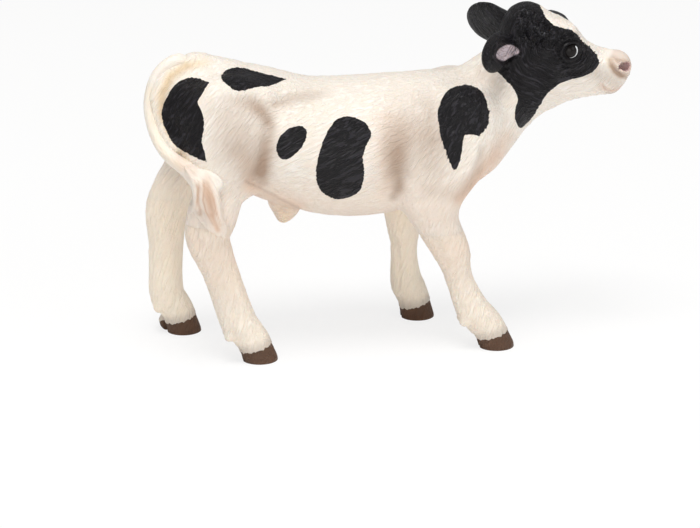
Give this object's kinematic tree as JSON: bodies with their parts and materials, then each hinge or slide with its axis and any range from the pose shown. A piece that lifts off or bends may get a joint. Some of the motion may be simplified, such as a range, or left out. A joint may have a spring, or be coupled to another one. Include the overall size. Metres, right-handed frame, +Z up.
{
  "type": "toy farm animal figure",
  "caption": "Standing toy calf in moulded vinyl with separate head, ears, tail and legs plugged into the torso, black patches on cream, brown hooves.",
  "frame": {"origin": "on the ground under the middle of the figure's bounding box", "axes": "+X towards the nose, +Y to the calf's left, +Z up"},
  "size_m": [0.087, 0.027, 0.0615],
  "materials": {
    "cream_vinyl": "satin soft vinyl with moulded hair strokes and hand-painted patches",
    "black_vinyl": "matte black paint on moulded soft vinyl"
  },
  "bodies": {
    "root": {"torso": "cream_vinyl", "head": "black_vinyl", "left_ear": "black_vinyl", "right_ear": "black_vinyl", "tail": "cream_vinyl", "right_fore_leg": "cream_vinyl", "left_fore_leg": "cream_vinyl", "right_hind_leg": "cream_vinyl", "left_hind_leg": "cream_vinyl"}
  },
  "joints": []
}
